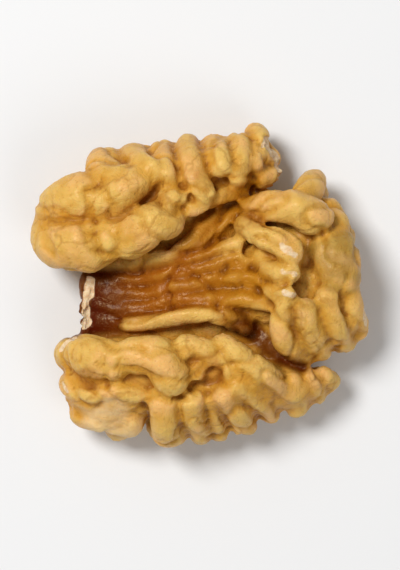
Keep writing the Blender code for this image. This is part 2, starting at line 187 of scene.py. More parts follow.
UNDERSIDE = (
    (1.9, 1.9, (-12.6, 5.6, 3.7), (-10.6, 7.8, 2.9), (-8.0, 9.8, 3.1)),
    (1.8, 1.8, (-11.2, 3.9, 3.9), (-8.2, 4.7, 3.1), (-5.4, 5.4, 2.9)),
    (1.6, 1.6, (-6.6, 7.6, 2.4), (-4.4, 8.5, 2.3), (-2.0, 8.2, 2.8)),
    (1.7, 1.6, (-5.6, 11.0, 3.4), (-3.0, 11.4, 3.0), (-0.4, 10.8, 2.8)),
    (1.5, 1.5, (-2.8, 5.9, 3.2), (-0.4, 7.7, 2.8), (1.8, 9.2, 2.9)),
    (1.6, 1.5, (0.9, 12.0, 3.4), (3.2, 12.2, 3.0), (4.8, 12.4, 3.2)),
    (1.2, 1.1, (3.6, 10.0, 3.0), (5.6, 10.4, 3.4)),
    (2.0, 2.0, (-10.6, -6.2, 3.6), (-8.2, -6.5, 2.8), (-5.4, -6.1, 2.9)),
    (1.9, 1.9, (-10.6, -9.2, 3.2), (-8.2, -10.4, 2.8), (-5.8, -10.2, 2.6)),
    (1.6, 1.7, (-3.6, -12.2, 3.2), (-2.8, -10.4, 2.4), (-2.9, -8.2, 2.4)),
    (1.4, 1.4, (-0.6, -12.2, 3.2), (-0.1, -10.0, 2.5), (-0.4, -7.4, 2.7)),
    (1.5, 1.4, (2.8, -11.2, 3.2), (2.7, -9.2, 2.5), (2.1, -6.8, 2.9)),
    (1.4, 1.3, (5.4, -10.6, 3.2), (5.5, -8.9, 2.8), (4.7, -7.0, 3.1)),
    (1.2, 1.2, (8.6, -10.2, 3.2), (8.2, -8.6, 2.9), (7.4, -7.4, 3.3)),
    (1.1, 1.0, (11.0, -8.5, 3.2), (9.9, -7.8, 3.3)),
    (1.7, 1.7, (9.8, 8.0, 3.4), (8.6, 6.2, 2.8), (6.2, 5.5, 3.1)),
    (1.8, 1.8, (11.8, 4.4, 3.2), (11.0, 2.6, 2.6), (10.2, 0.4, 2.4)),
    (1.6, 1.6, (13.2, -2.6, 3.6), (11.4, -2.6, 2.8), (9.0, -2.2, 2.6)),
    (1.3, 1.3, (11.8, -4.8, 3.6), (10.0, -4.8, 3.1), (7.8, -4.2, 3.1)),
    (1.2, 1.2, (4.4, 3.8, 3.4), (6.6, 2.8, 3.0), (7.6, 0.8, 2.8)),
    (0.9, 0.9, (-9.6, -1.4, 3.5), (-4.0, -0.8, 2.9), (1.5, -0.2, 2.9), (5.6, -1.2, 3.2)),
    (0.7, 0.7, (-7.4, 1.2, 3.2), (-3.0, 1.8, 2.9), (1.0, 3.0, 2.9), (3.2, 5.2, 3.0)),
)

# The line under each lobe that its folds curl in towards
UPPER_KEEL = ((-9.0, 6.5), (3.0, 10.2))
POINTED_KEEL = ((8.0, 4.0), (9.5, -1.5))
LOWER_KEEL = ((-8.0, -8.0), (8.0, -8.0))

# The kernel rests on three knobs round its weight. Each knob is its centre and its radius.
FEET = (
    ((-9.2, 7.6, 1.8), 2.1),
    ((-6.4, -9.6, 1.8), 2.1),
    ((10.4, 0.8, 1.8), 2.1),
)

# The valley's floor runs along these lines. Each point is x, y and the half-width there.
VALLEY_LINES = (
    ((-11.5, -1.3, 3.3), (-6.0, -1.1, 3.0), (-1.0, -0.3, 3.0), (3.0, 0.4, 2.6), (5.4, 0.3, 1.4)),
    ((-1.0, 2.5, 1.9), (1.0, 5.5, 1.7), (3.0, 7.8, 1.2), (4.8, 9.2, 0.8)),
    ((2.5, -2.6, 1.2), (5.0, -4.4, 0.9), (6.8, -6.2, 0.7), (8.8, -7.0, 0.5)),
)
VALLEY_EDGE = 0.7
BRANCH_EDGE = 0.3
BRANCH_TOP = (7.2, 8.6)

# One rib of the valley is given the golden skin of the folds, which paints a highlight along the bright rib.
GOLDEN_HIGHLIT_RIB = ((-6.6, -3.3, 0.5), (-3.0, -2.9, 0.75), (-0.5, -2.4, 0.7), (1.4, -2.5, 0.3))
RIB_EDGE = 0.25
RIB_HIGHLIGHT_SHARE = 0.85

# The valley's floor rises evenly from its open end. Skin higher than this over the end belongs to the folds.
VALLEY_END = -10
VALLEY_TOP = 7.0
VALLEY_RISE = 0.13
VALLEY_FADE = (0.5, 0.7)

# Where the floor's colour goes from the open end, darkened with painted shade, to the middle, and on to the head,
# along the kernel's own X
VALLEY_MIDDLE_FROM = (-9.5, -4.0)
VALLEY_HEAD_FROM = (-3.0, 6.0)

# The heights between which the kernel's upper side begins
UPPER_SIDE = (3.6, 4.5)

# Where the kernel is chipped, its pale flesh is bare along a line on its skin. The last five rows are painted
# highlights:
# pale flesh colour, with at most a shallow cut, laid where light glints on a knob, on the right rim and on three
# crescents' tips. Each row is its half-width, its depth, how bare it is, the height it stops at, and the line's
# points.
CHIPS_AND_HIGHLIGHTS = (
    (0.46, 0.25, 1.0, 3.9, ((-10.1, 0.7), (-10.3, -0.6), (-10.5, -2.0), (-10.5, -3.2))),
    (0.20, 0.12, 0.8, 5.4, ((-11.4, -4.3), (-12.2, -4.8), (-12.7, -5.5))),
    (0.60, 0.30, 1.0, 3.8, ((6.0, 12.9), (6.9, 11.8), (7.2, 10.4), (6.8, 9.3))),
    # Painted highlights from here on
    (0.22, 0.08, 0.6, 4.6, ((-12.6, -8.4), (-12.0, -9.3))),
    (0.24, 0.06, 0.6, 5.4, ((14.5, -1.6), (14.4, -3.3))),
    (0.40, 0.00, 0.60, 8.2, ((6.9, 3.7), (7.9, 3.0))),
    (0.34, 0.00, 0.56, 7.9, ((7.0, 1.5), (8.0, 1.3))),
    (0.38, 0.00, 0.60, 8.2, ((7.1, -0.4), (7.9, -0.6))),
)

# A chip's edge is ragged and its flesh is grainy. It fades out over a little height at its lower end.
CHIP_RAGGED = 0.7
CHIP_RAGGED_SIZE = 0.8
CHIP_GRAIN = 0.9
CHIP_GRAIN_SIZE = 0.5
CHIP_EDGE = (0.85, 1.1)
CHIP_FADE = 0.3

# The dull patch on the broad fold at the pointed end, and the pale one on the lower lobe's corner. Each is its
# middle and its half axes, seen from above.
DULL_PATCH = ((12.0, 2.8), (2.0, 2.8))
PALE_PATCH = ((-8.4, -11.9), (3.0, 1.8))

# Brown stains and painted shade where the skin dips; the patch at (-10.0, -7.9) is painted shade only. Each is its
# middle and its half axes, seen from above.
STAINS_AND_SHADE = (
    ((-4.7, 7.9), (1.7, 1.1)),
    ((0.7, -7.1), (1.7, 1.3)),
    ((-10.0, -7.9), (1.2, 1.2)),
    ((4.6, 5.9), (1.1, 0.9)),
    ((7.6, -2.3), (0.9, 0.9)),
    ((0.2, 9.6), (0.8, 1.4)),
)
PATCH_RAGGED = 0.6
PATCH_RAGGED_SIZE = 1.3
PATCH_EDGE = (0.65, 1.2)

# The skin is compared with itself evened out in these numbers of rounds. Each pair is how far, in millimetres,
# a crease or hollow lies below the evened skin, or a ridge top above it, where it begins and where it is full.
# The creases and hollows get browner skin with painted shade, and the ridge tops a painted highlight.
MASK_ROUNDS = (4, 30, 160)
FINE_CREASE = (0.01, 0.06)
CREASE = (0.02, 0.22)
HOLLOW = (0.2, 0.65)
CREST_HIGHLIGHT = (0.0, 0.17)
BROAD_CREST_HIGHLIGHT = (0.0, 0.45)

# How strongly each of these colours the skin, from 0 to 1
VEIN_SHARE = 0.4
# Painted shade in the deep hollows
DEEP_SHADE_SHARE = 0.6
# Brown stains and painted shade in the dips
STAIN_AND_SHADE_SHARE = 0.6
# Painted shade in the valley's creases and along its narrow branch
VALLEY_CREASE_SHADE_SHARE = 0.7
BRANCH_SHADE_SHARE = 0.85
DULL_SHARE = 0.9

# The skin's patterns. Sizes are millimetres, and the others are repeats in a metre.
MOTTLE_SIZE = 1.6
SPECKLE_SIZE = 0.35
FRECKLE_SIZE = 0.3
BLOTCH_SIZE = 5.0
WARM_SIZE = 7.0
WARM_CREST_HIGHLIGHT_SIZE = 3.2
VEIN_CELLS = 330.0
BEND_WAVES = 900.0
BEND_SHARE = 0.0012
GRAIN_WAVES = 1700.0
GRAIN_HEIGHT = 0.1

# Light goes this far under the skin, in millimetres, and less far for green and blue than for red.
LIGHT_REACH = 0.9
LIGHT_SPREAD = (1.0, 0.45, 0.18)
GLOSS_LEVEL = 0.24
GLOSS_TINT = (1.0, 0.7, 0.33, 1)
OIL_ROUGHNESS = 0.17

# Where each soft light of the studio stands and how wide it is, in metres
KEY_LIGHT = ((-0.20, 0.16, 0.45), 0.18)
FILL_LIGHT = ((0.22, -0.28, 0.38), 0.30)
FLOOR_GAP = 0.01 * MM
FLOOR_ROUGHNESS = 0.7

# The picture's width and height in pixels
PICTURE = (400, 570)


def along(points, share):
    """The point at a share of the way along a smooth curve through the points."""
    spans = len(points) - 1
    at = min(share * spans, spans - 1e-9)
    i = int(at)
    t = at - i
    before = points[i - 1] if i else points[0] * 2 - points[1]
    after = points[i + 2] if i + 2 < len(points) else points[-1] * 2 - points[-2]
    p, q = points[i], points[i + 1]
    return 0.5 * (
        2 * p
        + (q - before) * t
        + (2 * before - 5 * p + 4 * q - after) * t * t
        + (3 * p - before - 3 * q + after) * t**3
    )


def core(centre, half_axes, turn):
    """One ellipsoid of the solid flesh inside the folds."""
    bm = bmesh.new()
    matrix = (
        Matrix.Translation(centre)
        @ Matrix.Rotation(math.radians(turn), 4, "Z")
        @ Matrix.Diagonal((*half_axes, 1))
    )
    bmesh.ops.create_icosphere(bm, subdivisions=5, radius=1, matrix=matrix)
    return bm


def fold(first, last, *points):
    """One rounded ridge, as overlapping balls along its middle line."""
    bm = bmesh.new()
    points = [Vector(p) for p in points]
    length = sum((q - p).length for p, q in zip(points, points[1:]))
    steps = max(2, math.ceil(length / (BALL_SPACING * min(first, last))))
    for n in range(steps + 1):
        share = n / steps
        matrix = Matrix.Translation(along(points, share))
        radius = first + (last - first) * share
        bmesh.ops.create_icosphere(bm, subdivisions=3, radius=radius, matrix=matrix)
    return bm


def foot(centre, radius):
    """One low knob that the kernel rests on."""
    bm = bmesh.new()
    bmesh.ops.create_icosphere(bm, subdivisions=4, radius=radius, matrix=Matrix.Translation(centre))
    return bm


def curl_under(radius, points, keel):
    """The points of a fold, led by two more in under the lobe and down its side if it starts on the rim."""
    rim = points[0]
    if rim[2] > RIM_HEIGHT:
        return points
    start, end = Vector(keel[0]), Vector(keel[1])
    run = end - start
    share = min(1, max(0, (Vector(rim[:2]) - start).dot(run) / run.length_squared))
    inward = (start + run * share - Vector(rim[:2])).normalized()
    tail = [(*(Vector(rim[:2]) + inward * reach), radius + height) for reach, height in CURL]
    return (*tail, *points)


def swell(point):
    """The point moved by a slow, smooth wander."""
    return point + SWELL * Vector(noise.noise_vector(point / SWELL_SIZE))


def gather(shapes):
    """One mesh that holds every shape."""
    whole = bmesh.new()
    for shape in shapes:
        mesh = bpy.data.meshes.new("shape")
        shape.to_mesh(mesh)
        shape.free()
        whole.from_mesh(mesh)
        bpy.data.meshes.remove(mesh)
    return whole


def body_mesh():
    """The overlapping cores and folds, before they are united."""
    noise.seed_set(SEED)
    folds = [(first, last, *points) for first, last, *points in VALLEY + UNDERSIDE]
    for lobe, keel in ((UPPER_LOBE, UPPER_KEEL), (POINTED_END, POINTED_KEEL), (LOWER_LOBE, LOWER_KEEL)):
        folds += [(first, last, *curl_under(first, points, keel)) for first, last, *points in lobe]
    whole = gather([core(*c) for c in CORES] + [fold(*f) for f in folds])
    for vertex in whole.verts:
        vertex.co = swell(vertex.co)
    feet = gather(foot(*f) for f in FEET)
    mesh = bpy.data.meshes.new("walnut_kernel")
    feet.to_mesh(mesh)
    feet.free()
    whole.from_mesh(mesh)
    for vertex in whole.verts:
        vertex.co = (vertex.co - MIDDLE) * MM
    whole.to_mesh(mesh)
    whole.free()
    return mesh


def apply_modifiers(body):
    """Turns what the modifiers make into the body's own mesh."""
    evaluated = body.evaluated_get(bpy.context.evaluated_depsgraph_get())
    mesh = bpy.data.meshes.new_from_object(evaluated)
    rough = body.data
    body.modifiers.clear()
    body.data = mesh
    bpy.data.meshes.remove(rough)
    mesh.name = body.name


def drop_specks(mesh):
    """Deletes the loose specks that uniting the shapes can leave beside the body."""
    bm = bmesh.new()
    bm.from_mesh(mesh)
    parts = []
    for start in bm.verts:
        if start.tag:
            continue
        start.tag = True
        part = [start]
        for vertex in part:
            for edge in vertex.link_edges:
                neighbour = edge.other_vert(vertex)
                if not neighbour.tag:
                    neighbour.tag = True
                    part.append(neighbour)
        parts.append(part)
    parts.sort(key=len)
    specks = [vertex for part in parts[:-1] for vertex in part]
    bmesh.ops.delete(bm, geom=specks, context="VERTS")
    bm.to_mesh(mesh)
    bm.free()


def unite(body, pitch, smooth_steps):
    """Runs overlapping shapes together into one closed skin."""
    remesh = body.modifiers.new("one skin", "REMESH")
    remesh.mode = "VOXEL"
    remesh.voxel_size = pitch
    smooth = body.modifiers.new("soften", "SMOOTH")
    smooth.factor = 0.5
    smooth.iterations = smooth_steps
    apply_modifiers(body)
    drop_specks(body.data)


def points_of(mesh):
    """The mesh's points in millimetres, as rows."""
    flat = np.empty(len(mesh.vertices) * 3)
    mesh.vertices.foreach_get("co", flat)
    return flat.reshape(-1, 3) / MM


def normals_of(mesh):
    """The way that the skin faces at each point, as rows."""
    flat = np.empty(len(mesh.vertices) * 3)
    mesh.vertex_normals.foreach_get("vector", flat)
    return flat.reshape(-1, 3)


def move_points(mesh, points):
    """Puts the mesh's points where the rows say, in millimetres."""
    mesh.vertices.foreach_set("co", (points * MM).astype(np.float32).ravel())
    mesh.update()


def noise_at(points, size, offset=0.0):
    """A smooth noise at each point, with features of about the given size."""
    shift = Vector((offset, -offset, 2 * offset))
    return np.array([noise.noise(Vector(p) / size + shift) for p in points])


def step(values, low, high):
    """0 below low, 1 above high and smooth between."""
    share = np.clip((values - low) / (high - low), 0, 1)
    return share * share * (3 - 2 * share)


def main_relief(points):
    """How far the skin stands out or in at each point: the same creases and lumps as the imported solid."""
    crease = noise_at(points, CREASE_SPACING) / CREASE_WIDTH
    return LUMP * noise_at(points, LUMP_SIZE) - CREASE_DEPTH * np.exp(-crease * crease)


def fine_relief(points, settings):
    """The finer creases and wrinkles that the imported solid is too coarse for."""
    bend = np.column_stack([noise_at(points, FINE_BEND_SIZE, k) for k in (1.0, 2.0, 3.0)])
    bent = points + FINE_BEND * bend
    crease = noise_at(bent, FINE_CREASE_SPACING, 5.0) / FINE_CREASE_WIDTH
    patch = step(noise_at(points, FINE_CREASE_PATCH, 7.0), -0.2, 0.3)
    wrinkle = np.abs(noise_at(bent, WRINKLE_SIZE, 9.0)) - WRINKLE_MIDDLE
    creased = settings.fine_crease * np.exp(-crease * crease) * patch
    return (settings.wrinkle * wrinkle - creased) / MM


def press_relief(body, heights):
    """Moves the skin in or out by the heights, but leaves the resting spots alone."""
    mesh = body.data
    points = points_of(mesh)
    free = step(points[:, 2], SMOOTH_BELOW * 0.6, SMOOTH_BELOW)
    move_points(mesh, points + normals_of(mesh) * (heights * free)[:, None])


def line_distance(places, line):
    """How far each place is from a line through points, seen from above, and the half-width of the line there."""
    nearest = np.full(len(places), np.inf)
    width = np.zeros(len(places))
    for start, end in zip(line, line[1:]):
        a, b = np.array(start[:2]), np.array(end[:2])
        t = np.clip((places - a) @ (b - a) / ((b - a) @ (b - a)), 0, 1)
        away = np.linalg.norm(places - a - t[:, None] * (b - a), axis=1)
        if len(start) > 2:
            width = np.where(away < nearest, start[2] + (end[2] - start[2]) * t, width)
        nearest = np.minimum(nearest, away)
    return nearest, width


def cut_chips_and_highlights(body):
    """Breaks the chips off the skin and gives how bare each point is; the painted highlight spots count as bare."""
    mesh = body.data
    points, normals = points_of(mesh), normals_of(mesh)
    places = points[:, :2] + np.array(MIDDLE.xy)
    bare = np.zeros(len(points))
    depth = np.zeros(len(points))
    ragged = 1 + CHIP_RAGGED * noise_at(points, CHIP_RAGGED_SIZE, 8.0)
    grain = 1.1 + CHIP_GRAIN * noise_at(points, CHIP_GRAIN_SIZE, 4.0)
    for half_width, cut, share, lowest, line in CHIPS_AND_HIGHLIGHTS:
        away = line_distance(places, line)[0]
        over = 1 - step(away / (half_width * ragged), *CHIP_EDGE)
        over *= step(points[:, 2], lowest - CHIP_FADE, lowest + CHIP_FADE)
        bare = np.maximum(bare, over * share)
        depth = np.maximum(depth, over * cut)
    move_points(mesh, points - normals * (depth * grain)[:, None])
    return bare


def links_of(mesh):
    """The two ends of every edge, and how many edges meet at each point."""
    ends = np.empty(len(mesh.edges) * 2, dtype=np.int64)
    mesh.edges.foreach_get("vertices", ends)
    ends = ends.reshape(-1, 2)
    return ends, np.bincount(ends.ravel(), minlength=len(mesh.vertices))


def evened(rows, ends, counts, rounds):
    """The rows averaged with their neighbours' again and again."""
    for _ in range(rounds):
        total = np.zeros_like(rows)
        for k in range(rows.shape[1]):
            total[:, k] = np.bincount(ends[:, 0], rows[ends[:, 1], k], len(rows))
            total[:, k] += np.bincount(ends[:, 1], rows[ends[:, 0], k], len(rows))
        rows = 0.5 * rows + 0.5 * total / counts[:, None]
    return rows


def hollows(mesh, rounds):
    """How far each point lies below the evened skin, in millimetres. Crests are negative."""
    ends, counts = links_of(mesh)
    points, normals = points_of(mesh), normals_of(mesh)
    found, done, current = [], 0, points
    for n in rounds:
        current = evened(current, ends, counts, n - done)
        done = n
        found.append(np.einsum("ij,ij->i", current - points, normals))
    return found


def valley_share(points):
    """How much each point belongs to the valley's floor."""
    places = points[:, :2] + np.array(MIDDLE.xy)
    share = np.zeros(len(points))
    for line in VALLEY_LINES:
        away, width = line_distance(places, line)
        share = np.maximum(share, 1 - step(away, width - VALLEY_EDGE, width + VALLEY_EDGE))
    away, width = line_distance(places, GOLDEN_HIGHLIT_RIB)
    rib = 1 - step(away, width - RIB_EDGE, width + RIB_EDGE)
    top = VALLEY_TOP + VALLEY_RISE * (places[:, 0] - VALLEY_END)
    below, above = VALLEY_FADE
    share *= step(points[:, 2], *UPPER_SIDE) * (1 - step(points[:, 2], top - below, top + above))
    return share * (1 - RIB_HIGHLIGHT_SHARE * rib)


def branch_share(points):
    """How much each point belongs to the deep narrow branch of the valley."""
    away, width = line_distance(points[:, :2] + np.array(MIDDLE.xy), VALLEY_LINES[2])
    share = 1 - step(away, width / 2, width + BRANCH_EDGE)
    return share * step(points[:, 2], *UPPER_SIDE) * (1 - step(points[:, 2], *BRANCH_TOP))


def patch_share(points, patch):
    """How much each point belongs to a patch with a ragged edge."""
    places = (points[:, :2] + np.array(MIDDLE.xy) - np.array(patch[0])) / np.array(patch[1])
    ragged = 1 + PATCH_RAGGED * noise_at(points, PATCH_RAGGED_SIZE, 6.0)
    return 1 - step(np.linalg.norm(places, axis=1) * ragged, *PATCH_EDGE)


def keep_masks(body, bare):
    """Stores on the mesh what its skin needs to know: where it is creased or deep and gets painted shade, where its
    crests get a painted highlight, where it is dull, bare or a painted highlight spot, where it has stains and
    painted shade in its dips, and where it is in the valley.
    """
    mesh = body.data
    fine, middle, broad = hollows(mesh, MASK_ROUNDS)
    points = points_of(mesh)
    ends, counts = links_of(mesh)
    upper = step(points[:, 2], *UPPER_SIDE)
    stain_and_shade_patches = np.max([patch_share(points, stain_and_shade) for stain_and_shade in STAINS_AND_SHADE], axis=0)
    masks = {
        # The crease and deep masks give browner skin with painted shade in the creases and hollows
        "crease": step(fine, *FINE_CREASE) * 0.4 + step(middle, *CREASE) * 0.7,
        # Ridge tops, which get a painted highlight
        "crest_highlight": step(-middle, *CREST_HIGHLIGHT) * 0.5 + step(-broad, *BROAD_CREST_HIGHLIGHT) * 0.5,
        "deep": step(broad, *HOLLOW),
        "valley": valley_share(points),
        # Where the narrow branch gets painted shade
        "branch": branch_share(points),
        "dull": patch_share(points, DULL_PATCH) * upper,
        # Brown stains and painted shade in the dips
        "stain_and_shade": stain_and_shade_patches * upper,
        "pale": patch_share(points, PALE_PATCH) * step(points[:, 2], 3.0, 5.5),
        # Bare flesh on the chips, and the painted highlight spots
        "bare": evened(bare[:, None], ends, counts, 1)[:, 0],
    }
    for name, values in masks.items():
        layer = mesh.attributes.new(name, "FLOAT", "POINT")
        layer.data.foreach_set("value", np.clip(values, 0, 1).astype(np.float32))


class Nodes:
    """Adds nodes to a material and links them."""

    def __init__(self, material):
        material.use_nodes = True
        self.tree = material.node_tree
        self.shader = self.tree.nodes["Principled BSDF"]

    def add(self, kind, inputs=(), **settings):
        """A node of a kind with its settings, and its inputs given as values or as other nodes' outputs."""
        node = self.tree.nodes.new(kind)
        for name, value in settings.items():
            setattr(node, name, value)
        for name, value in dict(inputs).items():
            if isinstance(value, bpy.types.NodeSocket):
                self.tree.links.new(value, node.inputs[name])
            else:
                node.inputs[name].default_value = value
        return node

    def mask(self, name):
        """One of the masks that are stored on the mesh."""
        return self.add("ShaderNodeAttribute", attribute_name=name).outputs["Fac"]

    def combine(self, operation, a, b=0.0, clamp=True):
        """Two numbers put together, and kept between 0 and 1 if they are clamped."""
        return self.add("ShaderNodeMath", {0: a, 1: b}, operation=operation, use_clamp=clamp).outputs[0]

    def times(self, a, b):
        """One share of another."""
        return self.combine("MULTIPLY", a, b)

    def blend(self, share, a, b, how="MIX"):
        """One colour laid over another."""
        node = self.add("ShaderNodeMix", data_type="RGBA", blend_type=how)
        for slot, value in ((0, share), (6, a), (7, b)):
            if isinstance(value, bpy.types.NodeSocket):
                self.tree.links.new(value, node.inputs[slot])
            else:
                node.inputs[slot].default_value = value
        return node.outputs[2]

    def ramp(self, value, low, high, start=0.0, end=1.0):
        """A number taken smoothly from one range to another."""
        inputs = {"Value": value, "From Min": low, "From Max": high, "To Min": start, "To Max": end}
        node = self.add("ShaderNodeMapRange", inputs, interpolation_type="SMOOTHSTEP")
        return node.outputs["Result"]


def cloud(nodes, place, size, detail=3.0, warp=0.0):
    """A cloudy pattern with features of about the given size in millimetres."""
    inputs = {"Vector": place, "Scale": 1 / (size * MM), "Detail": detail, "Distortion": warp}
    return nodes.add("ShaderNodeTexNoise", inputs).outputs["Fac"]


def bent_place(nodes, place):
    """The place on the kernel, shifted by a cloudy pattern so that no line on it runs straight."""
    wander = nodes.add("ShaderNodeTexNoise", {"Vector": place, "Scale": BEND_WAVES, "Detail": 3.0})
    inputs = {0: BEND_SHARE, 4: place, 5: wander.outputs["Color"]}
    return nodes.add("ShaderNodeMix", inputs, data_type="VECTOR").outputs[1]


def veins(nodes, bent, blotch):
    """Thin veins along the borders of uneven cells. They show in some blotches only."""
    cells = nodes.add("ShaderNodeTexVoronoi", {"Vector": bent, "Scale": VEIN_CELLS}, feature="DISTANCE_TO_EDGE")
    line = nodes.ramp(cells.outputs["Distance"], 0.0, 0.07, start=1.0, end=0.0)
    return nodes.times(line, nodes.ramp(blotch, 0.42, 0.6))


def fold_colour(nodes, settings, place, mottle, speckle, vein):
    """The golden skin of the folds, veined, freckled and with brown stains: a painted highlight on the crests,
    browner skin with painted shade in the creases and hollows, and painted shade in some dips.
    """
    colour = nodes.blend(nodes.ramp(mottle, 0.35, 0.65), settings.skin, settings.skin_light)
    warm = nodes.ramp(cloud(nodes, place, WARM_SIZE, 2.0, 0.4), 0.42, 0.62, end=0.45)
    colour = nodes.blend(warm, colour, settings.orange)
    # A painted highlight on the crests of the folds, warmer in blotches
    warm_crest_highlight = nodes.ramp(cloud(nodes, place, WARM_CREST_HIGHLIGHT_SIZE, 2.0), 0.45, 0.62)
    crest_highlight_colour = nodes.blend(warm_crest_highlight, settings.crest_highlight, settings.crest_highlight_warm)
    crest_highlight = nodes.times(nodes.mask("crest_highlight"), nodes.ramp(mottle, 0.2, 0.6, start=0.5))
    colour = nodes.blend(crest_highlight, colour, crest_highlight_colour)
    freckle = nodes.ramp(cloud(nodes, place, FRECKLE_SIZE, 1.0), 0.64, 0.74, end=0.3)
    marks = nodes.combine("MAXIMUM", nodes.times(vein, VEIN_SHARE), freckle)
    colour = nodes.blend(marks, colour, settings.vein)
    # Browner skin with painted shade in the creases and deep hollows
    crease = nodes.times(nodes.mask("crease"), nodes.ramp(speckle, 0.3, 0.7, start=0.75))
    colour = nodes.blend(crease, colour, settings.crease)
    colour = nodes.blend(nodes.times(nodes.mask("deep"), DEEP_SHADE_SHARE), colour, settings.crease)
    # Brown stains with painted shade in the dips
    stain_and_shade = nodes.times(nodes.mask("stain_and_shade"), nodes.ramp(mottle, 0.3, 0.65, start=0.35))
    return nodes.blend(nodes.times(stain_and_shade, STAIN_AND_SHADE_SHARE), colour, settings.stain_and_shade, "MULTIPLY")


def valley_colour(nodes, settings, place):
    """The valley's floor: dark red-brown with painted shade at its open end, golden brown where it runs up into the
    folds, painted shade in its creases and a painted highlight on the crests of its ribs.
    """
    along_valley = nodes.add("ShaderNodeSeparateXYZ", {0: place}).outputs["X"]
    middle_from, middle_to = (x * MM for x in VALLEY_MIDDLE_FROM)
    head_from, head_to = (x * MM for x in VALLEY_HEAD_FROM)
    colour = nodes.blend(nodes.ramp(along_valley, middle_from, middle_to), settings.valley_brown_and_shade, settings.valley)
    colour = nodes.blend(nodes.ramp(along_valley, head_from, head_to), colour, settings.valley_light)
    # A painted highlight: the crests of the valley's ribs take the golden skin colour, more towards the valley's
    # head
    golden = nodes.ramp(along_valley, middle_from, middle_to, start=0.12, end=0.58)
    colour = nodes.blend(nodes.times(nodes.mask("crest_highlight"), golden), colour, settings.skin)
    # Painted shade in the valley's creases
    return nodes.blend(nodes.times(nodes.mask("crease"), VALLEY_CREASE_SHADE_SHARE), colour, settings.valley_brown_and_shade)


def skin_colour(nodes, settings, place, mottle, speckle, vein):
    """The colour of the whole skin, and of the flesh where it is bare, which also paints the highlight spots."""
    folds = fold_colour(nodes, settings, place, mottle, speckle, vein)
    colour = nodes.blend(nodes.mask("valley"), folds, valley_colour(nodes, settings, place))
    # Painted shade along the deep narrow branch, over its red-brown skin
    colour = nodes.blend(nodes.times(nodes.mask("branch"), BRANCH_SHADE_SHARE), colour, settings.valley_brown_and_shade)
    colour = nodes.blend(nodes.times(nodes.mask("dull"), DULL_SHARE), colour, settings.dull, "MULTIPLY")
    pale = nodes.times(nodes.mask("pale"), nodes.ramp(mottle, 0.3, 0.65, start=0.35, end=0.85))
    colour = nodes.blend(pale, colour, settings.pale)
    # Pale flesh on the chips, also laid as a painted highlight on the highlight spots
    flesh = nodes.blend(nodes.ramp(speckle, 0.35, 0.7), settings.flesh, settings.flesh_shade)
    return nodes.blend(nodes.ramp(nodes.mask("bare"), 0.35, 0.65), colour, flesh)


def skin_roughness(nodes, settings, mottle):
    """Uneven gloss, duller on bare flesh and on the painted highlight spots, and a little glossier along the
    valley.
    """
    rough = nodes.ramp(mottle, 0.3, 0.7, start=settings.roughness - 0.06, end=settings.roughness + 0.1)
    rough = nodes.combine("ADD", rough, nodes.times(nodes.mask("bare"), 0.3))
    return nodes.combine("SUBTRACT", rough, nodes.times(nodes.mask("valley"), 0.05))


def skin_grain(nodes, bent, speckle, vein):
    """The skin's finest grain, as the way that it tilts the surface."""
    inputs = {"Vector": bent, "Scale": GRAIN_WAVES, "Detail": 2.0, "Distortion": 0.6}
    wave = nodes.add("ShaderNodeTexNoise", inputs).outputs["Fac"]
    off_middle = nodes.combine("SUBTRACT", wave, 0.5, clamp=False)
    ridge = nodes.ramp(nodes.combine("ABSOLUTE", off_middle), 0.0, 0.12)
    height = nodes.combine("ADD", nodes.times(speckle, 0.4), nodes.times(ridge, 0.35))
    height = nodes.combine("SUBTRACT", height, nodes.times(vein, 0.15))
    inputs = {"Strength": 0.7, "Distance": GRAIN_HEIGHT * MM, "Height": height}
    return nodes.add("ShaderNodeBump", inputs).outputs["Normal"]


def skin_material(settings):
    """The kernel's skin: golden on the folds, red-brown along the valley, veined and glossy, with painted shade in
    its creases and painted highlights on its crests.
    """
    material = bpy.data.materials.new("walnut_skin")
    nodes = Nodes(material)
    place = nodes.add("ShaderNodeTexCoord").outputs["Object"]
    mottle = cloud(nodes, place, MOTTLE_SIZE)
    speckle = cloud(nodes, place, SPECKLE_SIZE, 2.0)
    bent = bent_place(nodes, place)
    vein = veins(nodes, bent, cloud(nodes, place, BLOTCH_SIZE, 2.0))
    colour = skin_colour(nodes, settings, place, mottle, speckle, vein)
    inputs = nodes.shader.inputs
    nodes.tree.links.new(colour, inputs["Base Color"])
    nodes.tree.links.new(skin_roughness(nodes, settings, mottle), inputs["Roughness"])
    nodes.tree.links.new(skin_grain(nodes, bent, speckle, vein), inputs["Normal"])
    inputs["Subsurface Weight"].default_value = settings.translucency
    inputs["Subsurface Radius"].default_value = LIGHT_SPREAD
    inputs["Subsurface Scale"].default_value = LIGHT_REACH * MM
    inputs["Specular IOR Level"].default_value = GLOSS_LEVEL
    inputs["Specular Tint"].default_value = GLOSS_TINT
    inputs["Coat Weight"].default_value = settings.oil
    inputs["Coat Roughness"].default_value = OIL_ROUGHNESS
    return material


def plain_material(name, colour, roughness):
    """A plain surface for the studio."""
    material = bpy.data.materials.new(name)
    nodes = Nodes(material)
    nodes.shader.inputs["Base Color"].default_value = colour
    nodes.shader.inputs["Roughness"].default_value = roughness
    return material


def colour_setting(name, description, default):
    """A colour that the user can change."""
    return bpy.props.FloatVectorProperty(
        name=name, description=description, subtype="COLOR", size=4, min=0, max=1, default=(*default, 1)
    )


def length_setting(name, description, default):
    """A length that the user can change, in metres."""
    return bpy.props.FloatProperty(
        name=name, description=description, subtype="DISTANCE", unit="LENGTH", default=default, precision=6
    )


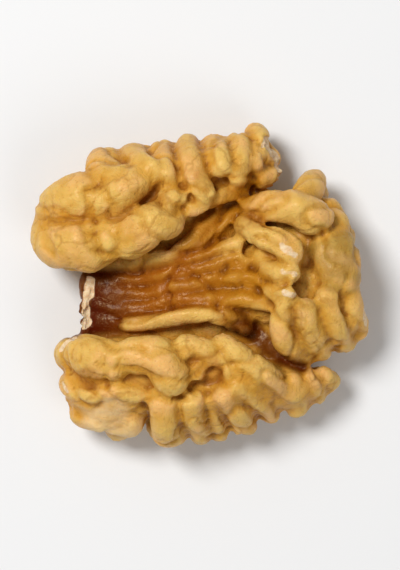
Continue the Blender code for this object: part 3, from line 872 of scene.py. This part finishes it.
class WalnutKernelSettings(bpy.types.PropertyGroup):
    """Sizes and colours of the kernel"""

    pitch: length_setting("Pitch", "How fine the kernel's mesh is", 0.203 * MM)
    fine_crease: length_setting("Fine Creases", "Depth of the finer creases", 0.09 * MM)
    wrinkle: length_setting("Wrinkles", "Height of the finest wrinkles", 0.08 * MM)
    # These two colours are a painted highlight on the crests of the folds
    crest_highlight: colour_setting("Crests", "Skin on the crests of the folds", (0.74, 0.47, 0.125))
    crest_highlight_warm: colour_setting("Warm Crests", "Warmer blotches on the crests", (0.79, 0.45, 0.15))
    skin: colour_setting("Skin", "Skin on the folds' sides", (0.58, 0.285, 0.035))
    skin_light: colour_setting("Pale Skin", "Paler blotches of the skin", (0.67, 0.375, 0.07))
    orange: colour_setting("Warm Skin", "Warmer blotches of the skin", (0.62, 0.26, 0.022))
    # Browner skin in the creases, darkened with painted shade
    crease: colour_setting("Creases", "Skin down in the creases", (0.33, 0.12, 0.011))
    vein: colour_setting("Veins", "Thin veins in the skin", (0.34, 0.13, 0.015))
    # Red-brown of the valley's open end, darkened with painted shade; it is also the painted shade in the valley's
    # creases and narrow branch
    valley_brown_and_shade: colour_setting("Valley End", "The valley's deep open end", (0.085, 0.007, 0.0004))
    valley: colour_setting("Valley", "The valley's middle", (0.31, 0.085, 0.003))
    valley_light: colour_setting("Valley Head", "The valley where it runs up into the folds", (0.45, 0.175, 0.008))
    # Tint of the brown stains and of the painted shade in the dips
    stain_and_shade: colour_setting("Stains", "Tint of the brown stains", (0.62, 0.42, 0.2))
    dull: colour_setting("Dull Patch", "Tint of the dull patch", (0.61, 0.62, 0.55))
    pale: colour_setting("Pale Patch", "The pale patch's colour", (0.81, 0.56, 0.27))
    # The flesh colours also paint the highlight spots
    flesh: colour_setting("Flesh", "Bare flesh where the kernel is chipped", (0.85, 0.66, 0.43))
    flesh_shade: colour_setting("Flesh Shade", "Darker grain of the bare flesh", (0.70, 0.46, 0.25))
    roughness: bpy.props.FloatProperty(
        name="Roughness", description="How dull the skin is", subtype="FACTOR", min=0, max=1, default=0.38
    )
    oil: bpy.props.FloatProperty(
        name="Oil", description="Gloss of the oil on the skin", subtype="FACTOR", min=0, max=1, default=0.05
    )
    translucency: bpy.props.FloatProperty(
        name="Translucency",
        description="Light that passes under the skin",
        subtype="FACTOR",
        min=0,
        max=1,
        default=0.15,
    )


class WalnutStageSettings(bpy.types.PropertyGroup):
    """Sizes and lights of the studio"""

    floor_size: length_setting("Floor Size", "Width of the floor", 2.0)
    floor_colour: colour_setting("Floor", "Colour of the floor", (0.8, 0.8, 0.8))
    view_width: length_setting("View Width", "Width of what the camera sees at the kernel", 35.5 * MM)
    lens: bpy.props.FloatProperty(name="Lens", description="Focal length of the camera", default=180.0, min=20)
    key_power: bpy.props.FloatProperty(
        name="Key Light", description="Power of the soft light from the upper left", subtype="POWER", default=2.25
    )
    fill_power: bpy.props.FloatProperty(
        name="Fill Light", description="Power of the broad light from the lower right", subtype="POWER", default=0.5
    )
    sky: bpy.props.FloatProperty(name="Sky", description="Brightness of the light all round", default=0.28, min=0)


class WALNUT_OT_build_kernel(bpy.types.Operator):
    """Build the kernel with its creases, chips and skin"""

    bl_idname = "walnut.build_kernel"
    bl_label = "Build Kernel"
    bl_options = {"REGISTER", "UNDO"}

    def execute(self, context):
        settings = context.scene.walnut_kernel
        body = bpy.data.objects.new("walnut_kernel", body_mesh())
        context.scene.collection.objects.link(body)
        unite(body, settings.pitch, smooth_steps=3)
        clefts = hollows(body.data, (EVEN_ROUNDS,))[0]
        press_relief(body, main_relief(points_of(body.data)) - CLEFT_GAIN * np.maximum(clefts, 0))
        unite(body, settings.pitch, smooth_steps=1)
        press_relief(body, fine_relief(points_of(body.data), settings))
        bare = cut_chips_and_highlights(body)
        mesh = body.data
        points = points_of(mesh)
        points[:, 2] = np.maximum(points[:, 2], 0)
        move_points(mesh, points)
        keep_masks(body, bare)
        mesh.shade_smooth()
        mesh.materials.append(skin_material(settings))
        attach(body, "root")
        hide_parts("kernel")
        return {"FINISHED"}


class WALNUT_OT_build_stage(bpy.types.Operator):
    """Build the pale floor, the soft lights and the camera"""

    bl_idname = "walnut.build_stage"
    bl_label = "Build Stage"
    bl_options = {"REGISTER", "UNDO"}

    def execute(self, context):
        settings = context.scene.walnut_stage
        build_floor(context, settings)
        build_light(context, "key_light", *KEY_LIGHT, settings.key_power)
        build_light(context, "fill_light", *FILL_LIGHT, settings.fill_power)
        build_sky(context, settings)
        build_camera(context, settings)
        return {"FINISHED"}


def build_floor(context, settings):
    """The plain pale floor that the kernel lies on."""
    bm = bmesh.new()
    under_feet = Matrix.Translation((0, 0, -FLOOR_GAP))
    bmesh.ops.create_grid(bm, x_segments=1, y_segments=1, size=settings.floor_size / 2, matrix=under_feet)
    mesh = bpy.data.meshes.new("floor")
    bm.to_mesh(mesh)
    bm.free()
    mesh.materials.append(plain_material("floor", settings.floor_colour, FLOOR_ROUGHNESS))
    floor = bpy.data.objects.new("floor", mesh)
    context.scene.collection.objects.link(floor)


def build_light(context, name, place, size, power):
    """One soft round light that faces the kernel."""
    lamp = bpy.data.lights.new(name, "AREA")
    lamp.shape = "DISK"
    lamp.size = size
    lamp.energy = power
    light = bpy.data.objects.new(name, lamp)
    light.location = place
    light.rotation_euler = Vector(place).to_track_quat("Z", "Y").to_euler()
    context.scene.collection.objects.link(light)


def build_sky(context, settings):
    """The even light of a white studio."""
    world = bpy.data.worlds.new("studio")
    world.use_nodes = True
    background = world.node_tree.nodes["Background"]
    background.inputs["Color"].default_value = (1, 1, 1, 1)
    background.inputs["Strength"].default_value = settings.sky
    context.scene.world = world
    context.scene.view_settings.view_transform = "Standard"


def build_camera(context, settings):
    """The camera straight above the kernel, with the picture's top towards +Y."""
    lowest, highest = CAD_BOX
    data = bpy.data.cameras.new("camera")
    data.lens = settings.lens
    data.clip_start = 0.01
    width, height = PICTURE
    seen = data.sensor_width * width / height
    distance = settings.view_width * data.lens / seen
    camera = bpy.data.objects.new("camera", data)
    middle = (lowest + highest) / 2
    camera.location = (middle.x, middle.y, highest.z / 2 + distance)
    context.scene.collection.objects.link(camera)
    context.scene.camera = camera


class WALNUT_PT_panel(bpy.types.Panel):
    """Shows the kernel's and the stage's settings, each with its build button"""

    bl_idname = "WALNUT_PT_panel"
    bl_label = "Walnut Kernel"
    bl_space_type = "VIEW_3D"
    bl_region_type = "UI"
    bl_category = "Walnut"

    def draw(self, context):
        for settings, operator in (
            (context.scene.walnut_kernel, WALNUT_OT_build_kernel.bl_idname),
            (context.scene.walnut_stage, WALNUT_OT_build_stage.bl_idname),
        ):
            column = self.layout.column(align=True)
            for name in settings.__annotations__:
                column.prop(settings, name)
            column.operator(operator)


CLASSES = (
    WalnutKernelSettings,
    WalnutStageSettings,
    WALNUT_OT_build_kernel,
    WALNUT_OT_build_stage,
    WALNUT_PT_panel,
)


def register():
    for cls in CLASSES:
        bpy.utils.register_class(cls)
    bpy.types.Scene.walnut_kernel = bpy.props.PointerProperty(type=WalnutKernelSettings)
    bpy.types.Scene.walnut_stage = bpy.props.PointerProperty(type=WalnutStageSettings)


def unregister():
    del bpy.types.Scene.walnut_stage
    del bpy.types.Scene.walnut_kernel
    for cls in reversed(CLASSES):
        bpy.utils.unregister_class(cls)


def main():
    register()
    bpy.ops.walnut.build_kernel()
    bpy.ops.walnut.build_stage()


if __name__ == "__main__":
    main()
